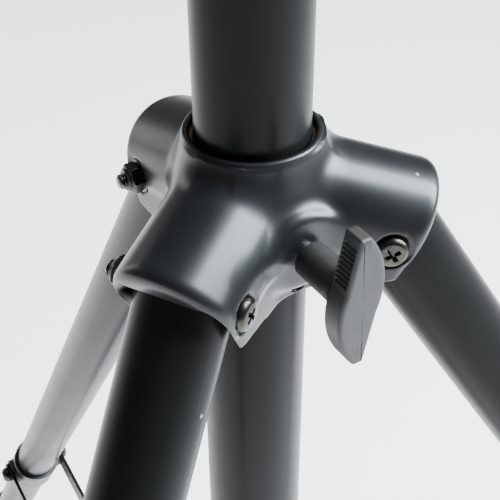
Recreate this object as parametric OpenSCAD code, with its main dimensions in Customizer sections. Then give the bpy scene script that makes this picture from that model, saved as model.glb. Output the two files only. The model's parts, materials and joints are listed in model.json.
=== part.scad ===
// Tubular tripod stand with a die-cast leg collar, a telescoping mast and
// channel braces. Z is up, the floor is Z = 0 and the column axis is the origin.
// The legs stand at 0, 120 and 240 degrees; both clamping knobs face 300 degrees.

/* [Column] */
// Outside diameter of the main tube
tube_d = 38; // [36:0.5:40]
// Wall thickness of the main tube
tube_wall = 1.2; // [1:0.1:1.2]
// Outside diameter of the mast that slides inside the main tube
mast_d = 35; // [32:0.5:35]
// Height of the top end of the main tube above the floor
tube_top = 1212; // [1195:1:1230]
// Height of the mast's top end above the floor, mast lowered
mast_top = 1340; // [1300:1:1400]
// Length of the mast
mast_len = 1100; // [1000:1:1120]

/* [Legs] */
// Outside diameter of a leg
leg_d = 32; // [30:0.5:32]
// Angle between a spread leg and the column, in degrees
splay = 33.1; // [30:0.1:35]
// Distance along the leg from its pivot to the centre of the foot's ball
leg_len = 880; // [860:1:890]
// Distance from the column axis to a leg pivot
pivot_r = 44.5; // [44:0.1:46]
// Radius of a rubber foot
foot_r = 20; // [18:0.5:20]

/* [Braces] */
// Distance along the leg from its pivot to its brace bracket
bracket_pos = 590; // [570:1:600]
// Distance between the two pivots of a brace
brace_len = 340; // [335:1:350]
// Distance from the column axis to a brace pivot on the hub
hub_pivot_r = 40; // [38:0.1:41]

/* [Collar] */
// Depth of the leg pivots below the collar's rim
pivot_drop = 36.5; // [35:0.1:38]
// Height of the collar from its rim to its lower edge
collar_h = 49.6; // [48:0.1:52]
// Outside radius of a leg hood
hood_r = 21.5; // [21:0.1:22]
// Angle by which a hood droops outwards, in degrees
hood_droop = 17.4; // [15:0.1:20]

/* [Hidden] */
$fn = 64;
LEGS = [0, 1, 2];
pitch = 360 / 3;
knob_az = 300;

tube_r = tube_d / 2;
tube_bore_r = tube_r - tube_wall;
mast_r = mast_d / 2;
mast_wall = 1.5;
socket_depth = 90;
groove_w = 2.5;
groove_depth = 0.5;
leg_r = leg_d / 2;
leg_wall = 1.5;
slide_gap = 0.3;           // between a sliding tube and what guides it
fit_gap = 0.05;            // between pieces fixed to each other

foot_ball_z = foot_r - 2;  // the sole is cut flat 2 mm into the ball
pivot_z = foot_ball_z + leg_len * cos(splay);
rim_z = pivot_z + pivot_drop;
bracket_r = pivot_r + bracket_pos * sin(splay);
bracket_z = pivot_z - bracket_pos * cos(splay);
brace_run = bracket_r - hub_pivot_r;
brace_rise = sqrt(brace_len * brace_len - brace_run * brace_run);
brace_tilt = atan2(brace_rise, brace_run);
hub_z = bracket_z - brace_rise;
hub_h = 32;
tube_bottom = hub_z - hub_h / 2 - 14;

// leg collar
sleeve_r = 22.9;
sleeve_bore_r = 20.45;
liner_r = 20.4;
liner_bore_r = tube_r + slide_gap;
liner_drop = 2.4;          // the liner ends this far below the rim
hood_axis_r = 43.4;        // a point that the hood's axis passes through
hood_axis_drop = 34.7;
hood_wall = 2.8;
hood_end = 14;             // hood length beyond that point, along its axis
cheek_half = 20.6;         // half the width across the two side plates
slot_half = leg_r + 1;     // half the width of the slot that the leg turns in
slot_start = 24.8;
ear_foot = 47;             // the side plates' outer edge, at the collar's lower edge
ear_top = 59.8;            // and under the hood's roof
ear_top_drop = 25;
web_face = 26.5;           // flat faces between the hoods, from the column axis
boss_r = 14;
boss_face = 31.5;
collar_knob_drop = 31;
set_screw_drop = 47;

// fasteners: M6 through the pivots, M8 on the knobs
bolt_r = 3;
bolt_hole_r = 3.3;
head_r = 5.8;
head_h = 3.4;
head_seat = 1.2;           // depth of the recess under head and nut
nut_af = 10;
nut_h = 4.6;
washer_r = 6.2;
washer_t = 1.2;
stud_r = 4;
stud_hole_r = 4.3;
pad_r = 3.5;
pad_len = 4.2;

// wing knob
knob_gap = 2.5;            // between a boss and its tightened knob
stem_r = 6.4;
grip_from = 18.5;          // where the grip starts along the knob
grip_depth = 8.5;
grip_half = 24.4;          // half the length across the two tips
tip_half = 2;              // half the width of a tip
lobe_r = 30.2;             // the bulging half of each flank of the grip
lobe_centre = [-22, 5.6];
grip_turn = -90;           // the tips stand up and down

// leg bracket, braces and hub
bracket_half = 20.9;
bracket_len = 44;
bush_r = 5;
flange_in = 21.3;
flange_t = 2.6;
ear_half = 9;              // half depth of a brace at its ends
web_top = 19;
web_t = 1.5;
web_from = 85;             // from the hub pivot, clear of the folded foot
web_to = 225;              // the leg crosses the brace beyond this
rivet_r = 6.5;
hub_r = 25;

// mast clamp
clamp_z = tube_top - 52;
clamp_h = 76;
clamp_r = 25.5;
clamp_liner_r = 21;
clamp_knob_z = clamp_z + 28;

// ---- placing ----------------------------------------------------------------

// Leg number i stands at i times the pitch.
module at_leg(i) { rotate([0, 0, pitch * i]) children(); }

// Z runs up the leg's axis, with the pivot at the origin and Y across the leg.
module along_leg(i) {
    at_leg(i) translate([pivot_r, 0, pivot_z]) rotate([0, -splay, 0]) children();
}

// X runs from the hub pivot to the bracket pivot, with Z on the brace's upper side.
module along_brace(i) {
    at_leg(i) translate([hub_pivot_r, 0, hub_z]) rotate([0, -brace_tilt, 0]) children();
}

// Z runs outwards along a knob's axis from the column axis, at height z.
module along_knob(z) {
    translate([0, 0, z]) rotate([0, 90, knob_az]) children();
}

// A round bar along Y from y0 to y1.
module cross_bar(r, y0, y1) {
    translate([0, y1, 0]) rotate([90, 0, 0]) cylinder(r = r, h = y1 - y0);
}

module tube(r, wall, h) {
    difference() {
        cylinder(r = r, h = h);
        translate([0, 0, -1]) cylinder(r = r - wall, h = h + 2);
    }
}

// The heads of the pivot screws: on the side that faces the knob, where there is one.
function head_side(i) = i == 2 ? 1 : -1;

// ---- fasteners --------------------------------------------------------------

// A pan head on the origin plane, pointing along +Z, with a cross recess.
module pan_head(r, h) {
    recess = 0.45 * r;
    difference() {
        union() {
            cylinder(r = r, h = 0.45 * h);
            translate([0, 0, 0.45 * h]) cylinder(r1 = r, r2 = 0.62 * r, h = 0.55 * h);
        }
        for (a = [0, 90])
            translate([0, 0, h]) rotate([0, 0, a])
                cube([2 * recess, 1.1, 2.4], center = true);
    }
}

// A washer on the origin plane with a hexagon lock nut on it, pressed into one piece.
module lock_nut() {
    difference() {
        union() {
            cylinder(r = washer_r, h = washer_t);
            translate([0, 0, washer_t]) rotate([0, 0, 12])
                cylinder(d = nut_af / cos(30), h = nut_h, $fn = 6);
            translate([0, 0, washer_t + nut_h]) cylinder(r = 0.42 * nut_af, h = 1.3);
        }
        translate([0, 0, -1]) cylinder(r = bolt_r + fit_gap, h = nut_h + 6);
    }
}

// A screw along Y through a joint whose outer faces are at +-half; side = -1 or 1
// says on which face its head lies.
module cross_bolt(half, side) {
    rotate([side > 0 ? -90 : 90, 0, 0]) {
        translate([0, 0, half]) pan_head(head_r, head_h);
        translate([0, 0, -half - 9.5]) cylinder(r = bolt_r, h = 2 * half + 9.5);
    }
}

// The lock nut at the other end of that screw.
module cross_nut(half, side) {
    rotate([side > 0 ? 90 : -90, 0, 0]) translate([0, 0, half]) lock_nut();
}

// ---- column -----------------------------------------------------------------

module main_tube() {
    color("#1c1d1e") difference() {
        translate([0, 0, tube_bottom]) tube(tube_r, tube_wall, tube_top - tube_bottom);
        along_knob(clamp_knob_z) cylinder(r = stud_hole_r + 0.2, h = 30);
        clamp_rivet_places() cylinder(r = bolt_r + fit_gap, h = 30);
    }
}

module tube_end_cap() {
    color("#202020") translate([0, 0, tube_bottom]) {
        translate([0, 0, -4]) cylinder(r = tube_r + 0.6, h = 4);
        cylinder(r = tube_bore_r - fit_gap, h = 18);
    }
}

// Three lugs, one for each brace, on a ring that is fixed to the main tube.
module lower_hub() {
    color("#232425") difference() {
        union() {
            translate([0, 0, hub_z - hub_h / 2]) cylinder(r = hub_r, h = hub_h);
            for (i = LEGS) at_leg(i) translate([0, 0, hub_z]) {
                translate([0, -bracket_half, -ear_half])
                    cube([hub_pivot_r, 2 * bracket_half, 2 * ear_half]);
                translate([hub_pivot_r, 0, 0]) cross_bar(ear_half, -bracket_half, bracket_half);
            }
        }
        translate([0, 0, hub_z - hub_h]) cylinder(r = tube_r + fit_gap, h = 2 * hub_h);
        for (i = LEGS) at_leg(i) translate([hub_pivot_r, 0, hub_z])
            cross_bar(bolt_r + fit_gap, -30, 30);
        for (i = LEGS) at_leg(i + 0.5) translate([0, 0, hub_z + 12]) rotate([0, 90, 0])
            cylinder(r = 2 + fit_gap, h = 30);
    }
}

module hub_bolts() {
    color("#3a3835") for (i = LEGS) at_leg(i) translate([hub_pivot_r, 0, hub_z])
        cross_bolt(flange_in + flange_t + 0.3, head_side(i));
}

module hub_nuts() {
    color("#3a3835") for (i = LEGS) at_leg(i) translate([hub_pivot_r, 0, hub_z])
        cross_nut(flange_in + flange_t + 0.3, head_side(i));
}

module hub_set_screws() {
    color("#3a3835") for (i = LEGS) at_leg(i + 0.5) translate([0, 0, hub_z + 12])
        rotate([0, 90, 0]) translate([0, 0, tube_r + 0.1]) difference() {
            cylinder(r = 2, h = hub_r - tube_r);
            translate([0, 0, hub_r - tube_r - 1.5]) cylinder(r = 1.1, h = 4, $fn = 6);
        }
}

// ---- mast clamp -------------------------------------------------------------

module clamp_rivet_places() {
    for (a = [30, 210]) translate([0, 0, clamp_z + 12]) rotate([0, 90, a]) children();
}

module clamp_body() {
    color("#1f2021") difference() {
        union() {
            translate([0, 0, clamp_z]) cylinder(r = clamp_r, h = clamp_h);
            translate([0, 0, clamp_z]) cylinder(r = clamp_r + 1.8, h = 6);
            translate([0, 0, clamp_z + clamp_h - 12]) cylinder(r = clamp_r + 2.5, h = 9);
            along_knob(clamp_knob_z) cylinder(r = boss_r, h = boss_face);
        }
        translate([0, 0, clamp_z - 1]) cylinder(r = tube_r + fit_gap, h = tube_top - clamp_z + 1);
        translate([0, 0, tube_top - 0.5]) cylinder(r = clamp_liner_r + fit_gap, h = 40);
        along_knob(clamp_knob_z) cylinder(r = stud_hole_r, h = 40);
        clamp_rivet_places() cylinder(r = bolt_r + fit_gap, h = 40);
    }
}

module clamp_liner() {
    top = clamp_z + clamp_h;
    color("#2b2b2a") difference() {
        union() {
            translate([0, 0, tube_top]) cylinder(r = clamp_liner_r, h = top - tube_top);
            translate([0, 0, top]) cylinder(r = clamp_liner_r + 2.2, h = 2);
        }
        translate([0, 0, tube_top - 1]) cylinder(r = mast_r + slide_gap, h = 60);
    }
}

module clamp_rivets() {
    color("#3a3835") clamp_rivet_places() translate([0, 0, tube_bore_r + 0.2]) {
        cylinder(r = bolt_r, h = clamp_r - tube_bore_r);
        translate([0, 0, clamp_r - tube_bore_r]) cylinder(r1 = 5.4, r2 = 3.6, h = 2);
    }
}

// ---- knobs: z is the height, contact the radius of the tube that the pad meets ----

module pressure_pad(z, contact) {
    along_knob(z) translate([0, 0, contact + slide_gap]) cylinder(r = pad_r, h = pad_len);
}

module knob_stud(z, contact) {
    start = contact + 2 * slide_gap + pad_len;
    along_knob(z) translate([0, 0, start])
        cylinder(r = stud_r, h = boss_face + knob_gap + 10 - start);
}

// Half of the grip's outline, from one tip down its bulging flank and straight on to the
// other tip; turned half round it gives the other half.
function half_grip() = concat(
    [for (k = [0:8]) let (a = 38.5 - 7.5 * k) lobe_centre + lobe_r * [cos(a), sin(a)]],
    [[tip_half, -grip_half]]);

module wing_knob(z) {
    along_knob(z) translate([0, 0, boss_face + knob_gap]) difference() {
        union() {
            cylinder(r = stem_r, h = grip_from + 1);
            translate([0, 0, grip_from]) rotate([0, 0, grip_turn])
                linear_extrude(height = grip_depth)
                    polygon(concat(half_grip(), [for (p = half_grip()) -p]));
        }
        translate([0, 0, -1]) cylinder(r = stud_r + fit_gap, h = 12);
    }
}

module clamp_pad() { color("#d8d4c4") pressure_pad(clamp_knob_z, mast_r); }
module clamp_stud() { color("#8d8f92") knob_stud(clamp_knob_z, mast_r); }
module clamp_knob() { color("#2a2b2c") wing_knob(clamp_knob_z); }
module collar_pad() { color("#d8d4c4") pressure_pad(rim_z - collar_knob_drop, tube_r); }
module collar_stud() { color("#8d8f92") knob_stud(rim_z - collar_knob_drop, tube_r); }
module collar_knob() { color("#2a2b2c") wing_knob(rim_z - collar_knob_drop); }

// ---- mast -------------------------------------------------------------------

// A turned groove marks how far a load's socket goes down over the mast.
module mast_tube() {
    color("#1c1d1e") difference() {
        translate([0, 0, mast_top - mast_len]) tube(mast_r, mast_wall, mast_len);
        translate([0, 0, mast_top - socket_depth - groove_w]) difference() {
            cylinder(r = mast_r + 2, h = groove_w);
            translate([0, 0, -1]) cylinder(r = mast_r - groove_depth, h = groove_w + 2);
        }
    }
}

module mast_top_cap() {
    color("#202020") translate([0, 0, mast_top]) {
        cylinder(r1 = mast_r - 0.4, r2 = mast_r - 2.2, h = 2.5);
        translate([0, 0, -16]) cylinder(r = mast_r - mast_wall - fit_gap, h = 16);
    }
}

module mast_bottom_plug() {
    color("#2b2b2a") translate([0, 0, mast_top - mast_len]) difference() {
        union() {
            translate([0, 0, -4]) cylinder(r = mast_r, h = 4);
            cylinder(r = mast_r - mast_wall - fit_gap, h = 22);
        }
        translate([0, 0, -5]) cylinder(r = 9, h = 30);
    }
}

// ---- leg collar -------------------------------------------------------------

// A solid along the drooping axis of a hood.
module hood_bar(r, from, to) {
    translate([hood_axis_r, 0, rim_z - hood_axis_drop]) rotate([0, 90 + hood_droop, 0])
        translate([0, 0, from]) cylinder(r = r, h = to - from);
}

// Seen from the side, a hood ends in one slanting line from its roof to its lower edge.
module hood() {
    low_z = rim_z - collar_h;
    intersection() {
        union() {
            hood_bar(hood_r, -40, hood_end);
            translate([0, -cheek_half, low_z])
                cube([60, 2 * cheek_half, collar_h - hood_axis_drop - 1]);
        }
        translate([0, 30, 0]) rotate([90, 0, 0]) linear_extrude(height = 60)
            polygon([[0, low_z], [ear_foot, low_z], [ear_top, rim_z - ear_top_drop],
                     [70, rim_z - ear_top_drop], [70, rim_z + 5], [0, rim_z + 5]]);
    }
}

// The room in which a leg's top end turns, open below and outwards.
module leg_slot() {
    intersection() {
        union() {
            hood_bar(hood_r - hood_wall, -40, hood_end + 10);
            translate([0, -slot_half, rim_z - 80]) cube([90, 2 * slot_half, 80 - hood_axis_drop]);
        }
        translate([slot_start, -30, rim_z - 90]) cube([90, 60, 90]);
    }
}

module leg_collar() {
    seat = cheek_half - head_seat;
    color("#141516") difference() {
        union() {
            translate([0, 0, rim_z - collar_h]) cylinder(r = sleeve_r, h = collar_h);
            for (i = LEGS) at_leg(i) hood();
            for (i = LEGS) at_leg(i + 0.5) translate([0, -6, rim_z - collar_h])
                cube([web_face, 12, collar_h - hood_axis_drop]);
            along_knob(rim_z - collar_knob_drop) cylinder(r = boss_r, h = boss_face);
        }
        translate([0, 0, rim_z - 60]) cylinder(r = sleeve_bore_r, h = 70);
        for (i = LEGS) at_leg(i) {
            leg_slot();
            translate([pivot_r, 0, pivot_z]) {
                cross_bar(bolt_r + fit_gap, -30, 30);
                cross_bar(head_r + 0.6, -30, -seat);
                cross_bar(head_r + 0.6, seat, 30);
            }
        }
        along_knob(rim_z - collar_knob_drop) cylinder(r = stud_hole_r, h = 40);
        along_knob(rim_z - set_screw_drop) cylinder(r = 1.5 + fit_gap, h = 40);
    }
}

module collar_liner() {
    low_z = rim_z - collar_h + 1;
    color("#30302e") difference() {
        translate([0, 0, low_z]) tube(liner_r, liner_r - liner_bore_r, collar_h - 1 - liner_drop);
        along_knob(rim_z - collar_knob_drop) cylinder(r = stud_hole_r, h = 40);
    }
}

module collar_set_screw() {
    color("#3a3835") along_knob(rim_z - set_screw_drop) translate([0, 0, liner_r])
        cylinder(r = 1.5, h = web_face - liner_r - 0.8);
}

module pivot_bolts() {
    color("#3a3835") for (i = LEGS) at_leg(i) translate([pivot_r, 0, pivot_z])
        cross_bolt(cheek_half - head_seat, head_side(i));
}

module pivot_nuts() {
    color("#3a3835") for (i = LEGS) at_leg(i) translate([pivot_r, 0, pivot_z])
        cross_nut(cheek_half - head_seat, head_side(i));
}

// ---- legs -------------------------------------------------------------------

leg_head = 9;              // leg tube above its pivot
leg_tail = leg_len - 6;    // leg tube below its pivot
leg_turn_r = 16.4;

// A leg's top corners are rounded about its pivot, so that they turn under the hood.
module turning_room() {
    cross_bar(leg_turn_r, -30, 30);
    translate([-50, -50, -leg_tail - 1]) cube([100, 100, leg_tail + 1]);
}

module leg(i) {
    color("#1c1d1e") along_leg(i) difference() {
        intersection() {
            translate([0, 0, -leg_tail]) tube(leg_r, leg_wall, leg_tail + leg_head);
            turning_room();
        }
        cross_bar(bolt_hole_r, -30, 30);
        translate([0, 0, -bracket_pos]) cross_bar(bush_r + fit_gap, -30, 30);
    }
}

// A nylon plug that closes the leg's top end and carries the pivot screw.
module leg_plug(i) {
    color("#2b2b2a") along_leg(i) difference() {
        intersection() {
            union() {
                translate([0, 0, -14])
                    cylinder(r = leg_r - leg_wall - fit_gap, h = 14 + leg_head);
                translate([0, 0, leg_head]) cylinder(r1 = leg_r - 4, r2 = leg_r - 5, h = 1.2);
            }
            turning_room();
        }
        cross_bar(bolt_hole_r, -30, 30);
    }
}

// A rubber boot over the tube's end: a ball, cut flat where it stands on the floor.
module foot(i) {
    boot = 46;
    color("#1a1a1a") intersection() {
        along_leg(i) translate([0, 0, -leg_len]) difference() {
            union() {
                sphere(r = foot_r);
                cylinder(r = foot_r, h = boot - 6);
                translate([0, 0, boot - 6]) cylinder(r1 = foot_r, r2 = foot_r - 2, h = 6);
            }
            translate([0, 0, leg_len - leg_tail]) cylinder(r = leg_r + fit_gap, h = 60);
        }
        translate([-1000, -1000, 0]) cube([2000, 2000, 300]);
    }
}

// A moulded sleeve with two flat cheeks, on which the brace turns.
module bracket(i) {
    color("#1d1e1f") along_leg(i) translate([0, 0, -bracket_pos]) difference() {
        union() {
            translate([0, 0, -bracket_len / 2]) cylinder(r = leg_r + 2.8, h = bracket_len);
            cross_bar(11, -bracket_half, bracket_half);
        }
        translate([0, 0, -bracket_len]) cylinder(r = leg_r + fit_gap, h = 2 * bracket_len);
        cross_bar(bush_r + fit_gap, -30, 30);
    }
}

// The steel bush through bracket and leg.
module bush(i) {
    color("#8d8f92") along_leg(i) translate([0, 0, -bracket_pos]) difference() {
        cross_bar(bush_r, -bracket_half, bracket_half);
        cross_bar(bolt_r + fit_gap, -30, 30);
    }
}

// ---- braces -----------------------------------------------------------------

// One side of the channel: round ends, deeper along the stretch that has a web.
module brace_side() {
    slope = 26;
    difference() {
        union() {
            circle(r = ear_half);
            translate([brace_len, 0]) circle(r = ear_half);
            polygon([
                [0, -ear_half], [brace_len, -ear_half], [brace_len, ear_half],
                [web_to + slope, ear_half], [web_to, web_top], [web_from, web_top],
                [web_from - slope, ear_half], [0, ear_half]
            ]);
        }
        circle(r = bolt_r + 0.25);
        translate([brace_len, 0]) circle(r = bolt_r + fit_gap);
    }
}

module brace(i) {
    out = flange_in + flange_t;
    color("#1c1d1e") along_brace(i) {
        for (y = [-flange_in, out])
            translate([0, y, 0]) rotate([90, 0, 0]) linear_extrude(height = flange_t) brace_side();
        translate([web_from, -out, web_top - web_t]) cube([web_to - web_from, 2 * out, web_t]);
    }
}

// Domed fasteners in the brace's ears; they end at the ears' inner faces.
module rivets(i) {
    color("#3a3835") along_brace(i) translate([brace_len, 0, 0]) for (a = [90, -90])
        rotate([a, 0, 0]) {
            translate([0, 0, flange_in]) cylinder(r = bolt_r, h = flange_t);
            translate([0, 0, flange_in + flange_t]) cylinder(r = rivet_r, h = 3);
            translate([0, 0, flange_in + flange_t + 3])
                cylinder(r1 = rivet_r, r2 = 0.6 * rivet_r, h = 2.6);
        }
}

// ---- nodes ------------------------------------------------------------------

main_tube();
tube_end_cap();
lower_hub();
hub_bolts();
hub_nuts();
hub_set_screws();
clamp_body();
clamp_liner();
clamp_rivets();
clamp_pad();
clamp_knob();
clamp_stud();
mast_tube();
mast_top_cap();
mast_bottom_plug();
leg_collar();
collar_liner();
collar_set_screw();
pivot_bolts();
pivot_nuts();
collar_pad();
collar_knob();
collar_stud();
leg(0);  // right_leg
leg_plug(0);  // right_leg_plug
foot(0);  // right_foot
bracket(0);  // right_bracket
bush(0);  // right_bush
brace(0);  // right_brace
rivets(0);  // right_rivets
leg(1);  // rear_leg
leg_plug(1);  // rear_leg_plug
foot(1);  // rear_foot
bracket(1);  // rear_bracket
bush(1);  // rear_bush
brace(1);  // rear_brace
rivets(1);  // rear_rivets
leg(2);  // front_leg
leg_plug(2);  // front_leg_plug
foot(2);  // front_foot
bracket(2);  // front_bracket
bush(2);  // front_bush
brace(2);  // front_brace
rivets(2);  // front_rivets
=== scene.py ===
"""Folding tubular tripod stand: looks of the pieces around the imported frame.

Lengths are worked out in millimetres and put into the meshes in metres. The collar and
its fasteners are placed from the collar's rim, the leg pivots and the brace pivots.
"""
import json
import math

import bmesh
import bpy
import numpy as np
from mathutils import Matrix, Vector


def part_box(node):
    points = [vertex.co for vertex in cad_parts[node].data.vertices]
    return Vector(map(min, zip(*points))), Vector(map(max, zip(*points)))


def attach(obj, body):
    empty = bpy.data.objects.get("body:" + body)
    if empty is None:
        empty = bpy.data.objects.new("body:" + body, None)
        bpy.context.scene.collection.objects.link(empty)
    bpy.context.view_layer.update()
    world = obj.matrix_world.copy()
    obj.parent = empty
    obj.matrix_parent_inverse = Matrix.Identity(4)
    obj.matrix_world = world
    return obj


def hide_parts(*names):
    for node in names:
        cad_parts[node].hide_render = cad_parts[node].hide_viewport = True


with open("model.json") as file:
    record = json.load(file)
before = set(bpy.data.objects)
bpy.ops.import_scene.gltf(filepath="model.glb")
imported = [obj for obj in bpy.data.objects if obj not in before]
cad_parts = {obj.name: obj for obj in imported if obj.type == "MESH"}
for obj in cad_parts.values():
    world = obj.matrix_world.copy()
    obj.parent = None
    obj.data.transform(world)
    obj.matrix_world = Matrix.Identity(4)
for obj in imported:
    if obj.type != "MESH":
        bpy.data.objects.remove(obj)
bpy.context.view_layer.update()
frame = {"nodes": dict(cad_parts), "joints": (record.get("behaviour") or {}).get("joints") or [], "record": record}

# ---- driving dimensions, mm ---------------------------------------------------

MM = 0.001
joints = {joint["name"]: joint for joint in frame["joints"]}
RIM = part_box("leg_collar")[1].z / MM
PIVOT = np.array(joints["right_leg_fold"]["pos_m"]) / MM
HUB_PIVOT = np.array(joints["right_brace_fold"]["pos_m"]) / MM
KNOB_AZ = 300
KNOB_DROP = 31             # knob axis below the rim
CLAMP_KNOB_Z = joints["clamp_knob_turn"]["pos_m"][2] / MM
LEGS = ("right", "rear", "front")
HEAD_SIDES = (-1, -1, 1)   # the face of each hood that carries its screw's head
SPLAY = math.radians(33.1)
LEG_LEN = 880

CHEEK_HALF = 20.6
HEAD_SEAT = 1.2
HUB_SEAT = 24.2
BOLT_R = 3.0
HEAD_R = 5.8
HEAD_H = 3.4
BOSS_R = 14.0
BOSS_FACE = 31.5
KNOB_GAP = 2.5

# ---- meshes -------------------------------------------------------------------


def piece(name, parts, body, replaced, material, merge=2e-6):
    """One object from several (points, quads) shells given in mm. Each shell is turned so
    that its signed volume, a sixth of the sum of each triangle's triple product, is
    positive, which makes its faces point outwards."""
    verts, faces, offset = [], [], 0
    for points, quads in parts:
        p = np.asarray(points, float).reshape(-1, 3)
        a, b, c, d = (p[quads[:, k]] for k in range(4))
        volume = np.einsum("ij,ij->", np.cross(b - a, c - a), a)
        volume += np.einsum("ij,ij->", np.cross(c - a, d - a), a)
        if volume < 0:
            quads = quads[:, ::-1]
        verts.append(p * MM)
        faces.append(quads + offset)
        offset += len(p)
    mesh = bpy.data.meshes.new(name)
    verts, faces = np.concatenate(verts), np.concatenate(faces)
    mesh.vertices.add(len(verts))
    mesh.vertices.foreach_set("co", verts.ravel())
    mesh.loops.add(faces.size)
    mesh.loops.foreach_set("vertex_index", faces.ravel().astype(np.int32))
    mesh.polygons.add(len(faces))
    mesh.polygons.foreach_set("loop_start", np.arange(0, faces.size, 4, dtype=np.int32))
    mesh.update(calc_edges=True)
    bm = bmesh.new()
    bm.from_mesh(mesh)
    bmesh.ops.remove_doubles(bm, verts=bm.verts, dist=merge)
    bm.to_mesh(mesh)
    bm.free()
    mesh.polygons.foreach_set("use_smooth", np.ones(len(mesh.polygons), bool))
    return finished(name, mesh, body, replaced, material)


def finished(name, mesh, body, replaced, material):
    """The mesh as a piece of the object: its material, its body and the nodes
    that it stands for."""
    mesh.materials.clear()
    mesh.materials.append(material)
    obj = bpy.data.objects.new(name, mesh)
    bpy.context.scene.collection.objects.link(obj)
    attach(obj, body)
    if replaced:
        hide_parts(*replaced)
    return obj


def sheet_of_quads(nu, nv, wrap_u=True, wrap_v=False):
    """Quads between neighbours on a grid of nu columns and nv rows."""
    u = np.arange(nu if wrap_u else nu - 1)
    v = np.arange(nv if wrap_v else nv - 1)
    u, v = (g.ravel() for g in np.meshgrid(u, v, indexing="ij"))
    u2, v2 = (u + 1) % nu, (v + 1) % nv
    return np.stack([u * nv + v, u2 * nv + v, u2 * nv + v2, u * nv + v2], 1)


def turned(profile, steps=96):
    """A surface of revolution about local Z: the (radius, height) profile carried round a
    full turn. A radius of zero closes it in a pole."""
    profile = np.asarray(profile, float)
    a = np.linspace(0, 2 * np.pi, steps, endpoint=False)[:, None]
    r, z = profile[:, 0][None, :], profile[:, 1][None, :]
    points = np.stack([r * np.cos(a), r * np.sin(a), z + 0 * a], -1)
    return points, sheet_of_quads(steps, len(profile))


def arc(centre, radius, start, end, count=6):
    """Points on an arc of a profile, angles in degrees from the radial direction."""
    a = np.radians(np.linspace(start, end, count))
    return [(centre[0] + radius * math.cos(x), centre[1] + radius * math.sin(x)) for x in a]


def along(points, origin, z_axis, x_hint=(0, 0, 1)):
    """Local points placed with their Z along z_axis and their X towards x_hint."""
    z = np.asarray(z_axis, float) / np.linalg.norm(z_axis)
    x = np.asarray(x_hint, float) - np.dot(x_hint, z) * z
    x /= np.linalg.norm(x)
    y = np.cross(z, x)
    return np.asarray(origin, float) + points @ np.stack([x, y, z])


def azimuth(degrees):
    """The level unit vector at that azimuth."""
    a = math.radians(degrees)
    return np.array([math.cos(a), math.sin(a), 0.0])


def softened(name, node, body, material, width=0.0008, segments=3, angle=35):
    """A copy of a CAD node with its seams merged and its edges rounded."""
    mesh = frame["nodes"][node].data.copy()
    mesh.name = name
    bm = bmesh.new()
    bm.from_mesh(mesh)
    bmesh.ops.remove_doubles(bm, verts=bm.verts, dist=1e-6)
    bmesh.ops.dissolve_limit(bm, angle_limit=math.radians(1), verts=bm.verts, edges=bm.edges)
    bmesh.ops.recalc_face_normals(bm, faces=bm.faces)
    bm.to_mesh(mesh)
    bm.free()
    obj = finished(name, mesh, body, (node,), material)
    bevel = obj.modifiers.new("rounded_edges", "BEVEL")
    bevel.width, bevel.segments = width, segments
    bevel.limit_method, bevel.angle_limit = "ANGLE", math.radians(angle)
    bevel.harden_normals = False
    mesh.polygons.foreach_set("use_smooth", np.ones(len(mesh.polygons), bool))
    smooth = obj.modifiers.new("flat_faces_stay_flat", "WEIGHTED_NORMAL")
    smooth.keep_sharp = True
    return obj


# ---- materials ----------------------------------------------------------------


def group(name, inputs, outputs):
    """An empty shader node group with named sockets."""
    tree = bpy.data.node_groups.new(name, "ShaderNodeTree")
    for label, default in inputs:
        tree.interface.new_socket(label, in_out="INPUT",
                                  socket_type="NodeSocketFloat").default_value = default
    for label in outputs:
        tree.interface.new_socket(label, in_out="OUTPUT", socket_type="NodeSocketFloat")
    return tree, tree.nodes.new("NodeGroupInput"), tree.nodes.new("NodeGroupOutput")


def join(tree, node_type, links, **values):
    """A node with its properties, constants and incoming links."""
    node = tree.nodes.new(node_type)
    for key, value in values.items():
        setattr(node, key, value)
    for socket, source in links.items():
        if isinstance(source, bpy.types.NodeSocket):
            tree.links.new(source, node.inputs[socket])
        else:
            node.inputs[socket].default_value = source
    return node


def ramp(tree, source, low, high, to_low=0.0, to_high=1.0):
    """Maps source from low..high to to_low..to_high, held at both ends."""
    return join(tree, "ShaderNodeMapRange", {"Value": source, "From Min": low, "From Max": high,
                "To Min": to_low, "To Max": to_high}).outputs["Result"]


def paint_skin_group():
    """Fine lumps of a sprayed skin plus slow waves: height, and a slow patch value."""
    tree, given, out = group("paint_skin", [("Size", 900.0), ("Waves", 90.0)],
                             ["Height", "Patches"])
    at = tree.nodes.new("ShaderNodeTexCoord").outputs["Object"]
    fine = join(tree, "ShaderNodeTexNoise", {"Vector": at, "Scale": given.outputs["Size"],
                "Detail": 2.0, "Roughness": 0.5})
    slow = join(tree, "ShaderNodeTexNoise", {"Vector": at, "Scale": given.outputs["Waves"],
                "Detail": 3.0, "Roughness": 0.55})
    total = join(tree, "ShaderNodeMath", {0: slow.outputs["Fac"], 1: 1.4,
                 2: fine.outputs["Fac"]}, operation="MULTIPLY_ADD")
    tree.links.new(total.outputs[0], out.inputs["Height"])
    tree.links.new(ramp(tree, slow.outputs["Fac"], 0.35, 0.65), out.inputs["Patches"])
    return tree


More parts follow.
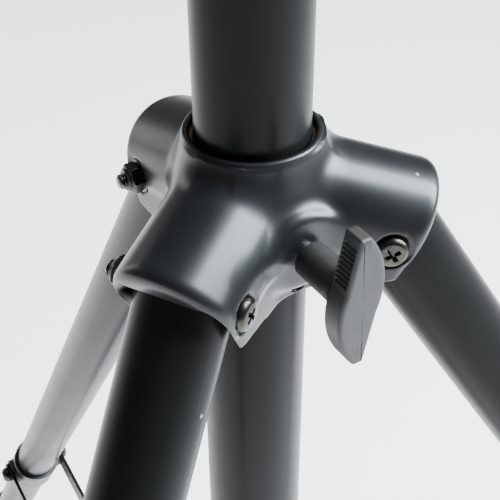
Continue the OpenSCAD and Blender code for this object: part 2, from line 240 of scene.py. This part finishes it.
def dust_group():
    """Sparse small specks: cells whose centre is near and whose random value is high."""
    tree, given, out = group("dust", [("Cells", 160.0), ("Share", 0.1), ("Speck", 0.12)],
                             ["Mask"])
    at = tree.nodes.new("ShaderNodeTexCoord").outputs["Object"]
    cells = join(tree, "ShaderNodeTexVoronoi", {"Vector": at, "Scale": given.outputs["Cells"]})
    near = join(tree, "ShaderNodeMath", {0: cells.outputs["Distance"],
                1: given.outputs["Speck"]}, operation="LESS_THAN")
    value = join(tree, "ShaderNodeSeparateColor", {"Color": cells.outputs["Color"]})
    chosen = join(tree, "ShaderNodeMath", {0: value.outputs["Red"],
                  1: given.outputs["Share"]}, operation="LESS_THAN")
    both = join(tree, "ShaderNodeMath", {0: near.outputs[0], 1: chosen.outputs[0]},
                operation="MULTIPLY")
    tree.links.new(both.outputs[0], out.inputs["Mask"])
    return tree


def rubbed_edge_group():
    """Where a convex edge is rubbed: pointiness above a threshold, broken up by noise."""
    tree, given, out = group("rubbed_edge", [("From", 0.52), ("To", 0.6), ("Breakup", 260.0)],
                             ["Mask"])
    at = tree.nodes.new("ShaderNodeTexCoord").outputs["Object"]
    point = tree.nodes.new("ShaderNodeNewGeometry").outputs["Pointiness"]
    edge = join(tree, "ShaderNodeMapRange", {"Value": point, "From Min": given.outputs["From"],
                "From Max": given.outputs["To"]})
    noise = join(tree, "ShaderNodeTexNoise", {"Vector": at, "Scale": given.outputs["Breakup"],
                 "Detail": 3.0})
    broken = ramp(tree, noise.outputs["Fac"], 0.4, 0.62)
    mask = join(tree, "ShaderNodeMath", {0: edge.outputs["Result"], 1: broken},
                operation="MULTIPLY")
    tree.links.new(mask.outputs[0], out.inputs["Mask"])
    return tree


PAINT_SKIN = paint_skin_group()
DUST = dust_group()
RUBBED_EDGE = rubbed_edge_group()


def use(tree, made_group, **values):
    """A shared group placed in a material with that material's own values."""
    node = tree.nodes.new("ShaderNodeGroup")
    node.node_tree = made_group
    for label, value in values.items():
        node.inputs[label].default_value = value
    return node


def blended(tree, mask, low, high):
    """A colour between two constant ones by a mask."""
    mix = tree.nodes.new("ShaderNodeMix")
    mix.data_type = "RGBA"
    tree.links.new(mask, mix.inputs["Factor"])
    for socket, colour in (("A", low), ("B", high)):
        slot = [s for s in mix.inputs if s.name == socket and s.type == "RGBA"][0]
        if isinstance(colour, bpy.types.NodeSocket):
            tree.links.new(colour, slot)
        else:
            slot.default_value = (*colour, 1)
    return [s for s in mix.outputs if s.type == "RGBA"][0]


def skin(name, colour, patch, roughness, size=900, waves=90, bump=0.25, distance=0.00012,
         metallic=0.0, coat=0.0, coat_roughness=0.1, specular=0.5, dust=0.06, dust_cells=160,
         dust_colour=(0.22, 0.22, 0.21), rub=None, rub_colour=(0.3, 0.3, 0.3),
         rub_from=0.53, rub_to=0.6, wear=0.05):
    """A finish with a fine skin, slow patches of tone and roughness, specks of dust and,
    where rub is set, lighter rubbed edges."""
    material = bpy.data.materials.new(name)
    material.use_nodes = True
    tree = material.node_tree
    shader = tree.nodes["Principled BSDF"]
    lumps = use(tree, PAINT_SKIN, Size=size, Waves=waves)
    specks = use(tree, DUST, Cells=dust_cells, Share=dust)
    tone = blended(tree, lumps.outputs["Patches"], colour, patch)
    if rub:
        edge = use(tree, RUBBED_EDGE, From=rub_from, To=rub_to)
        amount = join(tree, "ShaderNodeMath", {0: edge.outputs["Mask"], 1: rub},
                      operation="MULTIPLY")
        tone = blended(tree, amount.outputs[0], tone, rub_colour)
    tone = blended(tree, specks.outputs["Mask"], tone, dust_colour)
    tree.links.new(tone, shader.inputs["Base Color"])
    tree.links.new(ramp(tree, lumps.outputs["Patches"], 0, 1, roughness - wear,
                        roughness + wear), shader.inputs["Roughness"])
    bumped = join(tree, "ShaderNodeBump", {"Height": lumps.outputs["Height"],
                  "Strength": bump, "Distance": distance})
    tree.links.new(bumped.outputs["Normal"], shader.inputs["Normal"])
    shader.inputs["Metallic"].default_value = metallic
    shader.inputs["Specular IOR Level"].default_value = specular
    shader.inputs["Coat Weight"].default_value = coat
    shader.inputs["Coat Roughness"].default_value = coat_roughness
    return material


gloss_black = skin("gloss_black_casting", (0.005, 0.0057, 0.0063), (0.0065, 0.0073, 0.008),
                   0.36, size=420, waves=45, bump=0.03, coat=0.22, coat_roughness=0.2,
                   specular=0.3, dust=0.04, dust_cells=150, wear=0.03)
satin_black = skin("satin_black_tube", (0.006, 0.0064, 0.0062), (0.0075, 0.008, 0.0078), 0.3,
                   size=1500, waves=25, bump=0.08, distance=0.00006, specular=0.08, dust=0.03,
                   wear=0.02)
hub_black = skin("satin_black_casting", (0.012, 0.0125, 0.013), (0.017, 0.0175, 0.018), 0.42,
                 size=800, waves=80, bump=0.35, rub=0.3)
nylon_black = skin("black_moulded_nylon", (0.014, 0.0142, 0.0145), (0.02, 0.02, 0.0205),
                   0.45, size=1400, waves=110, bump=0.3, rub=0.12)
guide_black = skin("black_guide_nylon", (0.012, 0.012, 0.012), (0.018, 0.018, 0.0175), 0.5,
                   size=1200, bump=0.25)
knob_grey = skin("grained_knob_plastic", (0.017, 0.0175, 0.0175), (0.023, 0.0235, 0.0235), 0.5,
                 size=1900, waves=150, bump=0.55, distance=0.00012, rub=0.25,
                 rub_colour=(0.12, 0.12, 0.12), dust=0.05)
foot_black = skin("foot_rubber", (0.012, 0.012, 0.012), (0.022, 0.0215, 0.021), 0.7,
                  size=1100, bump=0.5, dust=0.25, dust_cells=260,
                  dust_colour=(0.1, 0.095, 0.085), rub=0.4, rub_colour=(0.05, 0.048, 0.045))
dark_nickel = skin("dark_nickel_steel", (0.07, 0.066, 0.06), (0.04, 0.037, 0.032), 0.3,
                   size=2200, waves=300, bump=0.1, metallic=1.0, dust=0.1, dust_cells=500,
                   dust_colour=(0.05, 0.045, 0.04), rub=0.5, rub_colour=(0.3, 0.29, 0.27))
bright_zinc = skin("bright_zinc_steel", (0.5, 0.5, 0.51), (0.36, 0.36, 0.36), 0.3, size=2200,
                   waves=300, bump=0.12, metallic=1.0)
pad_cream = skin("cream_pad_nylon", (0.55, 0.52, 0.42), (0.45, 0.42, 0.34), 0.5, size=900)

FINISH_OF_SLOT = {
    "tube_coat": satin_black, "gloss_casting": gloss_black, "satin_casting": hub_black,
    "moulded_nylon": nylon_black, "guide_nylon": guide_black, "knob_plastic": knob_grey,
    "foot_rubber": foot_black, "dark_steel": dark_nickel, "zinc_steel": bright_zinc,
    "pad_nylon": pad_cream}
for sub in frame["record"]["subparts"]:
    mesh = frame["nodes"][sub["node"]].data
    mesh.materials.clear()
    mesh.materials.append(FINISH_OF_SLOT[sub["material_slot"]])

# ---- leg collar ---------------------------------------------------------------

NECK_R = 22.9
BORE_R = 20.45
HOOD_R = 21.5
HOOD_DROOP = math.radians(17.4)
HOOD_AXIS = (43.4, -34.7)  # a point of the hood's axis: radius, and height from the rim
HOOD_END = (63.0, -18.4)   # a point of the hood's outer end: radius, height from the rim
HOOD_END_LEAN = math.radians(24)
FLOOR = -49.6              # the collar's lower edge, from the rim
LIP = -25.4                # the hood's lower lip at its outer end
EAR_FOOT = 47.0            # where the side plates' outer edge leaves the lower edge
EAR_TOP = 59.6
WALL = 2.8
SET_SCREW_DROP = 47.0      # the set screw's hole below the rim
SLOT_HALF = 17.0
SLOT_START = 24.8
EDGE_R = 0.8
RIM_R = (NECK_R - BORE_R) / 2


def soft_min(a, b, k):
    """The lower of two distances, with a fillet where they are within k of each other."""
    h = np.maximum(k - np.abs(a - b), 0) / k
    return np.minimum(a, b) - h * h * k / 4


def soft_max(a, b, k):
    """The higher of two distances, rounded where they are within k of each other."""
    return -soft_min(-a, -b, k)


def hood_distance(x, y, z, az):
    """Distance to one leg hood: a bar with a round back along a drooping axis, flat-sided
    below it and slightly narrower there, with a rounded outer end."""
    c, s = math.cos(math.radians(az)), math.sin(math.radians(az))
    out, side = x * c + y * s, np.abs(y * c - x * s)
    dr, dz = out - HOOD_AXIS[0], z - HOOD_AXIS[1]
    above = dr * math.sin(HOOD_DROOP) + dz * math.cos(HOOD_DROOP)
    sink = np.clip((-2.5 - above) / 4.5, 0, 1)
    half = HOOD_R - (HOOD_R - CHEEK_HALF) * sink * sink * (3 - 2 * sink)
    bar = np.hypot(side, np.maximum(above, 0)) - half
    end = ((out - HOOD_END[0]) * math.cos(HOOD_END_LEAN)
           - (z - HOOD_END[1]) * math.sin(HOOD_END_LEAN))
    return soft_max(soft_max(bar, end, 5.0), -out, 1.0)


def boss_distance(x, y, z):
    """Distance to the knob's boss: a short round bar with a rounded face."""
    u = azimuth(KNOB_AZ)
    out, side = x * u[0] + y * u[1], y * u[0] - x * u[1]
    bar = np.hypot(side, z + KNOB_DROP) - BOSS_R
    return np.maximum(soft_max(bar, out - BOSS_FACE, 3.5), -out)


def collar_distance(x, y, z):
    """Distance to the whole casting: neck, three hoods and boss, blended by fillets."""
    hoods = hood_distance(x, y, z, 0)
    for az in (120, 240):
        hoods = soft_min(hoods, hood_distance(x, y, z, az), 9.0)
    body = soft_min(np.hypot(x, y) - NECK_R, hoods, 9.0)
    return soft_min(body, boss_distance(x, y, z), 5.0)


def lower_edge(out):
    """Height of the collar's edge at a distance out along a leg: flat as far as the foot
    of the side plate, then a straight slope up to the lip at the outer end."""
    slope = (LIP - FLOOR) / (EAR_TOP - EAR_FOOT)
    return np.clip(FLOOR + (out - EAR_FOOT) * slope, FLOOR, LIP)


def cast(theta, slope, inset=0.0, steps=34):
    """How far a ray from the foot of the axis, at azimuth theta and slope, goes before it
    leaves the collar less a skin of that inset: bisection on the distance."""
    near, far = np.full(np.broadcast(theta, slope).shape, 4.0), np.full(
        np.broadcast(theta, slope).shape, 95.0)
    ct, st, cs, ss = np.cos(theta), np.sin(theta), np.cos(slope), np.sin(slope)
    for _ in range(steps):
        mid = (near + far) / 2
        outside = collar_distance(mid * cs * ct, mid * cs * st, FLOOR + mid * ss) > -inset
        far, near = np.where(outside, mid, far), np.where(outside, near, mid)
    return near


def collar_columns(count=600):
    """Azimuths spaced evenly along the collar's outline seen from above."""
    dense = np.linspace(0, 2 * np.pi, 7201)
    r = cast(dense, np.full_like(dense, math.radians(24)), steps=30)
    step = np.hypot(np.diff(r), r[1:] * np.diff(dense))
    run = np.concatenate([[0], np.cumsum(step)])
    return np.interp(np.linspace(0, run[-1], count, endpoint=False), run, dense)


def leg_collar():
    """The casting as one closed surface. Each column is a loop in the half-plane at one
    azimuth: up the bore, over the rolled rim, down the outside to the lower edge, round
    the edge, up the inside of the hood, in under its roof and down beside the sleeve."""
    theta = collar_columns()[:, None]
    local = (theta + np.pi / 3) % (2 * np.pi / 3) - np.pi / 3
    rows_out, rows_in, rows_rim, rows_bore, rows_edge, rows_down = 84, 44, 9, 8, 6, 12
    rim_z = -RIM_R
    top = math.atan2(rim_z - FLOOR, NECK_R)
    # where the outside meets the lower edge: three rounds of slope from height over radius
    slope_end = np.full_like(theta, 0.05)
    for _ in range(6):
        r = cast(theta, slope_end) * np.cos(slope_end)
        slope_end = np.arctan2(lower_edge(r * np.cos(local)) + EDGE_R - FLOOR, r)
    t = np.linspace(0, 1, rows_out)[None, :]
    slope = top + (slope_end - top) * t
    reach = cast(theta, slope)
    r_out, z_out = reach * np.cos(slope), FLOOR + reach * np.sin(slope)
    r_out[:, 0], z_out[:, 0] = NECK_R, rim_z
    # inside: the same rays to the inset skin, kept within the slot's two sides
    side = np.maximum(np.abs(np.sin(local)), 1e-6)
    t = np.linspace(0, 1, rows_in)[None, :]
    start_r = np.minimum(r_out[:, -1:] - WALL, SLOT_HALF / side)
    r_in0 = SLOT_START / np.maximum(np.cos(local), 0.3)
    room = np.clip((start_r - r_in0) / 2.0, 0, 1)
    slope_in = slope_end + (math.radians(64) - slope_end) * t
    reach = np.minimum(cast(theta, slope_in, WALL), SLOT_HALF / side / np.cos(slope_in))
    r_cav, z_cav = reach * np.cos(slope_in), FLOOR + reach * np.sin(slope_in)
    roof_slope = np.full_like(theta, 0.7)
    for _ in range(14):
        roof_reach = cast(theta, roof_slope, WALL, 26)
        error = roof_reach * np.cos(roof_slope) - r_in0
        roof_slope = np.clip(roof_slope + 0.012 * error, 0.05, 1.1)
    roof = FLOOR + roof_reach * np.sin(roof_slope)
    r_cav, z_cav = np.maximum(r_cav, r_in0), np.minimum(z_cav, roof)
    down = np.linspace(0, 1, rows_down)[None, :]
    r_down = r_in0 + 0 * down
    z_down = z_cav[:, -1:] + (FLOOR - z_cav[:, -1:]) * down
    r_cav = np.concatenate([r_cav, r_down], 1)
    z_cav = np.concatenate([z_cav, z_down], 1)
    # between the hoods there is no room inside: the same rows lie along the flat underside
    solid_r = np.linspace(0, 1, r_cav.shape[1])[None, :]
    flat_r = (r_out[:, -1:] - EDGE_R) + (BORE_R + EDGE_R - r_out[:, -1:] + EDGE_R) * solid_r
    r_cav = flat_r + (r_cav - flat_r) * room
    z_cav = FLOOR + (z_cav - FLOOR) * room
    # the lower edge, a half round between the outside and the inside
    turn = np.linspace(0, np.pi, rows_edge + 2)[None, 1:-1]
    a_r, a_z, b_r, b_z = r_out[:, -1:], z_out[:, -1:], r_cav[:, :1], z_cav[:, :1]
    r_edge = (a_r + b_r) / 2 + (a_r - b_r) / 2 * np.cos(turn)
    z_edge = (a_z + b_z) / 2 + (a_z - b_z) / 2 * np.cos(turn) - EDGE_R * np.sin(turn)
    # the rolled rim and the bore
    turn = np.linspace(np.pi, 0, rows_rim)[None, :]
    r_rim = NECK_R - RIM_R + RIM_R * np.cos(turn) + 0 * theta
    z_rim = rim_z + RIM_R * np.sin(turn) + 0 * theta
    rise = np.linspace(0, 1, rows_bore)[None, :-1]
    r_bore = BORE_R + 0 * rise + 0 * theta
    z_bore = FLOOR + (rim_z - FLOOR) * rise + 0 * theta
    r = np.concatenate([r_bore, r_rim[:, :-1], r_out, r_edge, r_cav], 1)
    z = np.concatenate([z_bore, z_rim[:, :-1], z_out, z_edge, z_cav], 1)
    points = np.stack([r * np.cos(theta), r * np.sin(theta), z], -1)
    points = counterbored(points)
    points[..., 2] += RIM
    return piece("collar_casting", [(points, sheet_of_quads(*points.shape[:2], wrap_v=True))],
                 "collar", ("leg_collar",), gloss_black)


def counterbored(points):
    """Shallow round seats for head and nut: points on a cheek within the seat's radius of
    the pivot move inwards along the cheek's normal by the seat's depth. The set screw's
    hole below the knob is sunk in the same way, along the knob's azimuth."""
    pivot_z = PIVOT[2] - RIM
    for i in range(3):
        u, t = azimuth(120 * i), azimuth(120 * i + 90)
        out, side = points @ u, points @ t
        d = np.hypot(out - PIVOT[0], points[..., 2] - pivot_z)
        depth = HEAD_SEAT * np.clip((7.1 - d) / 0.7, 0, 1)
        outer = (np.abs(side) > CHEEK_HALF - 1.6) & (out > 20)
        points = points - (np.sign(side) * depth * outer)[..., None] * t
    u, t = azimuth(KNOB_AZ), azimuth(KNOB_AZ + 90)
    d = np.hypot(points @ t, points[..., 2] + SET_SCREW_DROP)
    depth = 2.2 * np.clip((2.5 - d) / 0.5, 0, 1) * (points @ u > BORE_R + 3)
    return points - depth[..., None] * u


leg_collar()

# ---- screws and nuts ----------------------------------------------------------


def pan_screw(length, thread=9.0):
    """A pan-head screw from the seat: domed head with a cross recess above it, then a
    shank of that length below, with ridges of thread at its end. Each row's height in the
    recess is lowered by how far a point lies inside either arm of the cross."""
    dome = arc((HEAD_R - 2.6, HEAD_H - 2.6), 2.6, 0, 62, 9)
    crown = [(r, HEAD_H + 0.05 - (r / HEAD_R) ** 2 * 0.45) for r in np.linspace(4.2, 0, 40)]
    head = [(HEAD_R - 0.3, 0), (HEAD_R, 0.3)] + dome + crown
    z = np.linspace(-length + thread, -length + 0.9, 60)
    ridges = [(BOLT_R - 0.26 - 0.24 * math.cos(2 * math.pi * x), x) for x in z]
    shank = [(0, -length), (BOLT_R - 0.9, -length)] + ridges[::-1] + [(BOLT_R, -0.1)]
    points, quads = turned(shank + head, 128)
    x, y, z = points[..., 0], points[..., 1], points[..., 2]
    arm = 0.62 + 0.1 * np.minimum(np.hypot(x, y), 3)
    reach = np.clip((2.9 - np.hypot(x, y)) / 0.9, 0, 1)
    cut = np.maximum(np.clip((arm - np.abs(x)) / 0.25, 0, 1),
                     np.clip((arm - np.abs(y)) / 0.25, 0, 1))
    z -= np.where(z > 2, 1.7 * cut * reach, 0)
    return points, quads


def lock_nut(across=10.0, height=4.6):
    """A washer, a hexagon with chamfered corners and a domed collar round the bolt. The
    hexagon's radius at an angle is its apothem over the cosine to the nearest flat, held
    to the chamfer's cone near both ends."""
    washer = turned([(BOLT_R, 0), (6.0, 0), (6.2, 0.2), (6.2, 1.0), (6.0, 1.2), (BOLT_R, 1.2)])
    z = np.array([0, 0, 0.25, 0.7, 1.2, 2.3, 3.4, 3.9, 4.35, 4.6])
    a = np.linspace(0, 2 * np.pi, 144, endpoint=False)[:, None]
    flat = (a + np.pi / 6) % (np.pi / 3) - np.pi / 6
    hexagon = across / 2 / np.cos(flat)
    cone = across / 2 - 0.1 + 1.7 * np.minimum(z, height - z)[None, :]
    r = np.minimum(hexagon, cone)
    r[:, 0] = BOLT_R
    shape = np.stack([r * np.cos(a), r * np.sin(a), 1.2 + z[None, :] + 0 * a], -1)
    crown = [(4.45, 5.8), (4.4, 6.3), (4.15, 6.75), (3.7, 6.95), (3.3, 6.85), (BOLT_R, 6.6)]
    points, _ = turned(crown, 144)
    shape = np.concatenate([shape, points], 1)
    return [washer, (shape, sheet_of_quads(*shape.shape[:2]))]


def cross_fasteners(label, body, pivot, seat, nodes):
    """The three screws and lock nuts across the joints whose pivot is at that radius and
    height, with their seats at +-seat."""
    bolts, nuts = [], []
    for i, side in enumerate(HEAD_SIDES):
        centre = azimuth(120 * i) * pivot[0] + np.array([0, 0, pivot[2]])
        out = azimuth(120 * i + 90) * side
        spin = azimuth(120 * i) * math.cos(0.5 + i) + np.array([0, 0, math.sin(0.5 + i)])
        points, quads = pan_screw(2 * seat + 9.5)
        bolts.append((along(points, centre + out * seat, out, spin), quads))
        for points, quads in lock_nut():
            nuts.append((along(points, centre - out * seat, -out, spin), quads))
    piece(label + "_screws", bolts, body, (nodes[0],), dark_nickel)
    piece(label + "_lock_nuts", nuts, body, (nodes[1],), dark_nickel)


cross_fasteners("pivot", "collar", PIVOT, CHEEK_HALF - HEAD_SEAT, ("pivot_bolts", "pivot_nuts"))
cross_fasteners("hub", "column", HUB_PIVOT, HUB_SEAT, ("hub_bolts", "hub_nuts"))

# ---- wing knobs ---------------------------------------------------------------

STEM_R = 6.4
GRIP_FROM = 18.5
GRIP_DEPTH = 8.5
GRIP_HALF = 24.4
TIP_HALF = 2.0
LOBE_R = 30.2
LOBE_CENTRE = (-22.0, 5.6)


def grip_outline(count=640):
    """The grip's closed outline, evenly spaced: a bulging arc down from one tip and a
    straight run to the other, then the same turned half round, with corners rounded by
    averaging neighbours."""
    a = np.radians(np.linspace(38.5, -21.5, 60))
    half = np.stack([LOBE_CENTRE[0] + LOBE_R * np.cos(a), LOBE_CENTRE[1] + LOBE_R * np.sin(a)], 1)
    half = np.concatenate([half, [[TIP_HALF, -GRIP_HALF]]])
    loop = np.concatenate([half, -half, half[:1]])
    run = np.concatenate([[0], np.cumsum(np.hypot(*np.diff(loop, axis=0).T))])
    at = np.linspace(0, run[-1], count, endpoint=False)
    loop = np.stack([np.interp(at, run, loop[:, k]) for k in (0, 1)], 1)
    kernel = np.hanning(9)[1:-1]
    kernel /= kernel.sum()
    for _ in range(2):
        padded = np.concatenate([loop[-3:], loop, loop[:3]])
        loop = np.stack([np.convolve(padded[:, k], kernel, "valid") for k in (0, 1)], 1)
    return loop


def grip():
    """The grip: its outline carried through the depth, drawn in along its normal by a
    quarter round at both faces, which close in scaled copies of the outline. Grooves cut
    the straight flank above the bulge, and the one opposite, between the two faces."""
    loop = grip_outline()
    ahead, back = np.roll(loop, -1, 0), np.roll(loop, 1, 0)
    tangent = ahead - back
    normal = np.stack([tangent[:, 1], -tangent[:, 0]], 1)
    normal /= np.linalg.norm(normal, axis=1)[:, None]
    if np.sum(normal * loop) < 0:
        normal = -normal
    edge, q = 1.3, np.linspace(0, np.pi / 2, 7)
    inset = np.concatenate([edge * (1 - np.sin(q)), np.zeros(22), edge * (1 - np.cos(q))])
    depth = np.concatenate([edge * (1 - np.cos(q)), np.linspace(edge, GRIP_DEPTH - edge, 24)[1:-1],
                            GRIP_DEPTH - edge * (1 - np.sin(q))])
    x, y = loop[:, 0], loop[:, 1]
    flank = ((x < 0) & (y > 7.2) & (y < 21.2)) | ((x > 0) & (y < -7.2) & (y > -21.2))
    wave = 0.5 - 0.5 * np.cos(2 * np.pi * (np.abs(y) - 7.2) / 1.556)
    inner = np.clip((depth - 0.9) / 0.5, 0, 1) * np.clip((GRIP_DEPTH - 1.4 - depth) / 0.5, 0, 1)
    inset = inset[None, :] + 0.62 * (flank * wave ** 0.7)[:, None] * inner[None, :]
    side = loop[:, None, :] - normal[:, None, :] * inset[..., None]
    points = np.concatenate([side, np.broadcast_to(depth[None, :, None], side.shape[:2] + (1,))], 2)
    caps = []
    for end in (0, -1):
        ring = points[:, end, :]
        scale = np.array([0.9, 0.75, 0.55, 0.3, 0.1, 0.0])
        cap = np.concatenate([ring[:, None, :2] * scale[None, :, None],
                              np.broadcast_to(ring[:, None, 2:], (len(ring), 6, 1))], 2)
        caps.append(cap if end else cap[:, ::-1])
    points = np.concatenate([caps[0], points, caps[1]], 1)
    points[..., 2] += GRIP_FROM
    return points, sheet_of_quads(*points.shape[:2])


def knob_stem():
    """The round stem: a chamfered foot round the stud's hole, a slightly tapering shaft and
    a flare under the grip."""
    flare = arc((STEM_R + 1.6, GRIP_FROM - 1.4), 1.6, 180, 110, 6)
    foot = arc((STEM_R - 0.6, 0.6), 0.6, -90, 0, 5)
    return turned([(4.06, 11), (4.06, 0.4), (4.4, 0)] + foot + flare
                  + [(STEM_R + 0.6, GRIP_FROM + 2), (0, GRIP_FROM + 2), (0, 11)], 96)


def wing_knob(name, body, z, node):
    """Grip and stem placed along the knob's azimuth at a height, a quarter turn round."""
    u = azimuth(KNOB_AZ)
    origin = u * (BOSS_FACE + KNOB_GAP) + np.array([0, 0, z])
    parts = []
    for points, quads in (grip(), knob_stem()):
        x, y = points[..., 0].copy(), points[..., 1].copy()
        points[..., 0], points[..., 1] = y, -x
        parts.append((along(points, origin, u), quads))
    return piece(name, parts, body, (node,), knob_grey)


wing_knob("collar_wing_knob", "collar_knob", RIM - KNOB_DROP, "collar_knob")
wing_knob("clamp_wing_knob", "clamp_knob", CLAMP_KNOB_Z, "clamp_knob")

# ---- feet, brackets, braces, hub and clamp ------------------------------------


def foot(i, name):
    """A rubber boot with a ball end, three grip rings and a chamfered mouth, turned about
    the leg and cut flat where it meets the floor."""
    r, bore, boot = 20.0, 16.05, 46.0
    ball = arc((0, 0), r, -90, 0, 40)
    z = np.linspace(0, boot - 6, 90)
    ring = np.clip(np.cos((z - 22) * 2 * np.pi / 6), 0, 1) * (np.abs(z - 22) < 10.5)
    wall = [(r - 0.55 * g, h) for g, h in zip(ring, z)][1:]
    mouth = [(r - 0.7, boot - 4), (r - 1.6, boot - 0.8), (r - 2.2, boot), (bore + 0.5, boot),
             (bore, boot - 0.6), (bore, 6), (0, 6)]
    points, quads = turned(ball + wall + mouth, 120)
    u = azimuth(120 * i)
    up = np.array([0, 0, math.cos(SPLAY)]) - u * math.sin(SPLAY)
    ball_centre = u * PIVOT[0] + np.array([0, 0, PIVOT[2]]) - up * LEG_LEN
    points = along(points, ball_centre, up, u)
    points[..., 2] = np.maximum(points[..., 2], 0)
    return piece(name + "_rubber_foot", [(points, quads)], name + "_leg", (name + "_foot",),
                 foot_black)


for i, name in enumerate(LEGS):
    foot(i, name)
    softened(name + "_bracket_moulding", name + "_bracket", name + "_leg",
             nylon_black, 0.0009)
    softened(name + "_brace_channel", name + "_brace", name + "_brace",
             satin_black, 0.0005, 2)
    softened(name + "_brace_rivets", name + "_rivets", name + "_brace",
             dark_nickel, 0.0007)
softened("hub_casting", "lower_hub", "column", hub_black, 0.001)
softened("clamp_moulding", "clamp_body", "column", nylon_black, 0.0012)
softened("clamp_bearing", "clamp_liner", "column", guide_black, 0.0005)
softened("clamp_rivet_heads", "clamp_rivets", "column", dark_nickel, 0.0004)
softened("tube_foot_cap", "tube_end_cap", "column", nylon_black, 0.0012)
softened("mast_cap", "mast_top_cap", "mast", nylon_black, 0.0012)

# ---- camera, floor and light --------------------------------------------------

FLOOR_GLOW = 2.0
CAMERA_FROM_RIM = (-10.9, -275.6, 165.1)
CAMERA_YAW, CAMERA_PITCH, CAMERA_ROLL = (math.radians(a) for a in (2.04, 37.96, -0.44))


def camera():
    """Looks along +Y turned by yaw towards +X, down by pitch, rolled about its axis."""
    cy, sy = math.cos(CAMERA_YAW), math.sin(CAMERA_YAW)
    cp, sp = math.cos(CAMERA_PITCH), math.sin(CAMERA_PITCH)
    ahead, right = Vector((sy * cp, cy * cp, -sp)), Vector((cy, -sy, 0))
    up = right.cross(ahead)
    c, s = math.cos(CAMERA_ROLL), math.sin(CAMERA_ROLL)
    right, up = right * c + up * s, up * c - right * s
    data = bpy.data.cameras.new("camera")
    data.lens, data.sensor_width = 72.01, 36
    data.clip_start, data.clip_end = 0.01, 50
    obj = bpy.data.objects.new("camera", data)
    bpy.context.scene.collection.objects.link(obj)
    x, y, z = CAMERA_FROM_RIM
    place = Vector((x * MM, y * MM, (RIM + z) * MM))
    turn = Matrix((right, up, -ahead)).transposed()
    obj.matrix_world = Matrix.Translation(place) @ turn.to_4x4()
    bpy.context.scene.camera = obj


def floor():
    """A wide pale disc just below the feet."""
    points, quads = turned([(0, 0), (2000, 0), (6000, 0), (6000, -20), (0, -20)], 96)
    points[..., 2] -= 0.5
    material = bpy.data.materials.new("pale_floor")
    material.use_nodes = True
    tree = material.node_tree
    at = tree.nodes.new("ShaderNodeTexCoord").outputs["Object"]
    cloud = join(tree, "ShaderNodeTexNoise", {"Vector": at, "Scale": 1.5, "Detail": 2.0})
    tone = blended(tree, cloud.outputs["Fac"], (0.9, 0.9, 0.9), (0.94, 0.94, 0.94))
    shader = tree.nodes["Principled BSDF"]
    tree.links.new(tone, shader.inputs["Base Color"])
    shader.inputs["Roughness"].default_value = 0.7
    tree.links.new(tone, shader.inputs["Emission Color"])
    shader.inputs["Emission Strength"].default_value = FLOOR_GLOW
    mesh = bpy.data.meshes.new("studio_floor")
    mesh.from_pydata((points.reshape(-1, 3) * MM).tolist(), [], quads.tolist())
    mesh.materials.append(material)
    obj = bpy.data.objects.new("studio_floor", mesh)
    bpy.context.scene.collection.objects.link(obj)


def softbox(name, place, target, width, height, power, colour=(1, 1, 1)):
    """A rectangular area light at a place in metres, facing the target."""
    data = bpy.data.lights.new(name, "AREA")
    data.shape, data.size, data.size_y = "RECTANGLE", width, height
    data.energy, data.color = power, colour
    obj = bpy.data.objects.new(name, data)
    bpy.context.scene.collection.objects.link(obj)
    obj.location = place
    aim = Vector(target) - Vector(place)
    obj.rotation_euler = aim.to_track_quat("-Z", "Y").to_euler()


def studio():
    """A dim even surround, one large window, a rear fill and a small warm light."""
    world = bpy.data.worlds.new("studio")
    world.use_nodes = True
    world.node_tree.nodes["Background"].inputs["Color"].default_value = (0.95, 0.97, 1.0, 1)
    world.node_tree.nodes["Background"].inputs["Strength"].default_value = 0.2
    bpy.context.scene.world = world
    centre = (0, 0, RIM * MM)
    softbox("right_window", (1.35, 0.1, 1.75), centre, 0.8, 1.5, 190, (0.84, 0.93, 1.0))
    softbox("rear_left", (-2.2, 1.9, 1.3), centre, 0.8, 1.6, 10, (0.93, 0.97, 1.0))
    softbox("warm_glint", (0.15, 1.0, 2.2), centre, 0.25, 0.3, 5, (1.0, 0.68, 0.45))


camera()
floor()
studio()
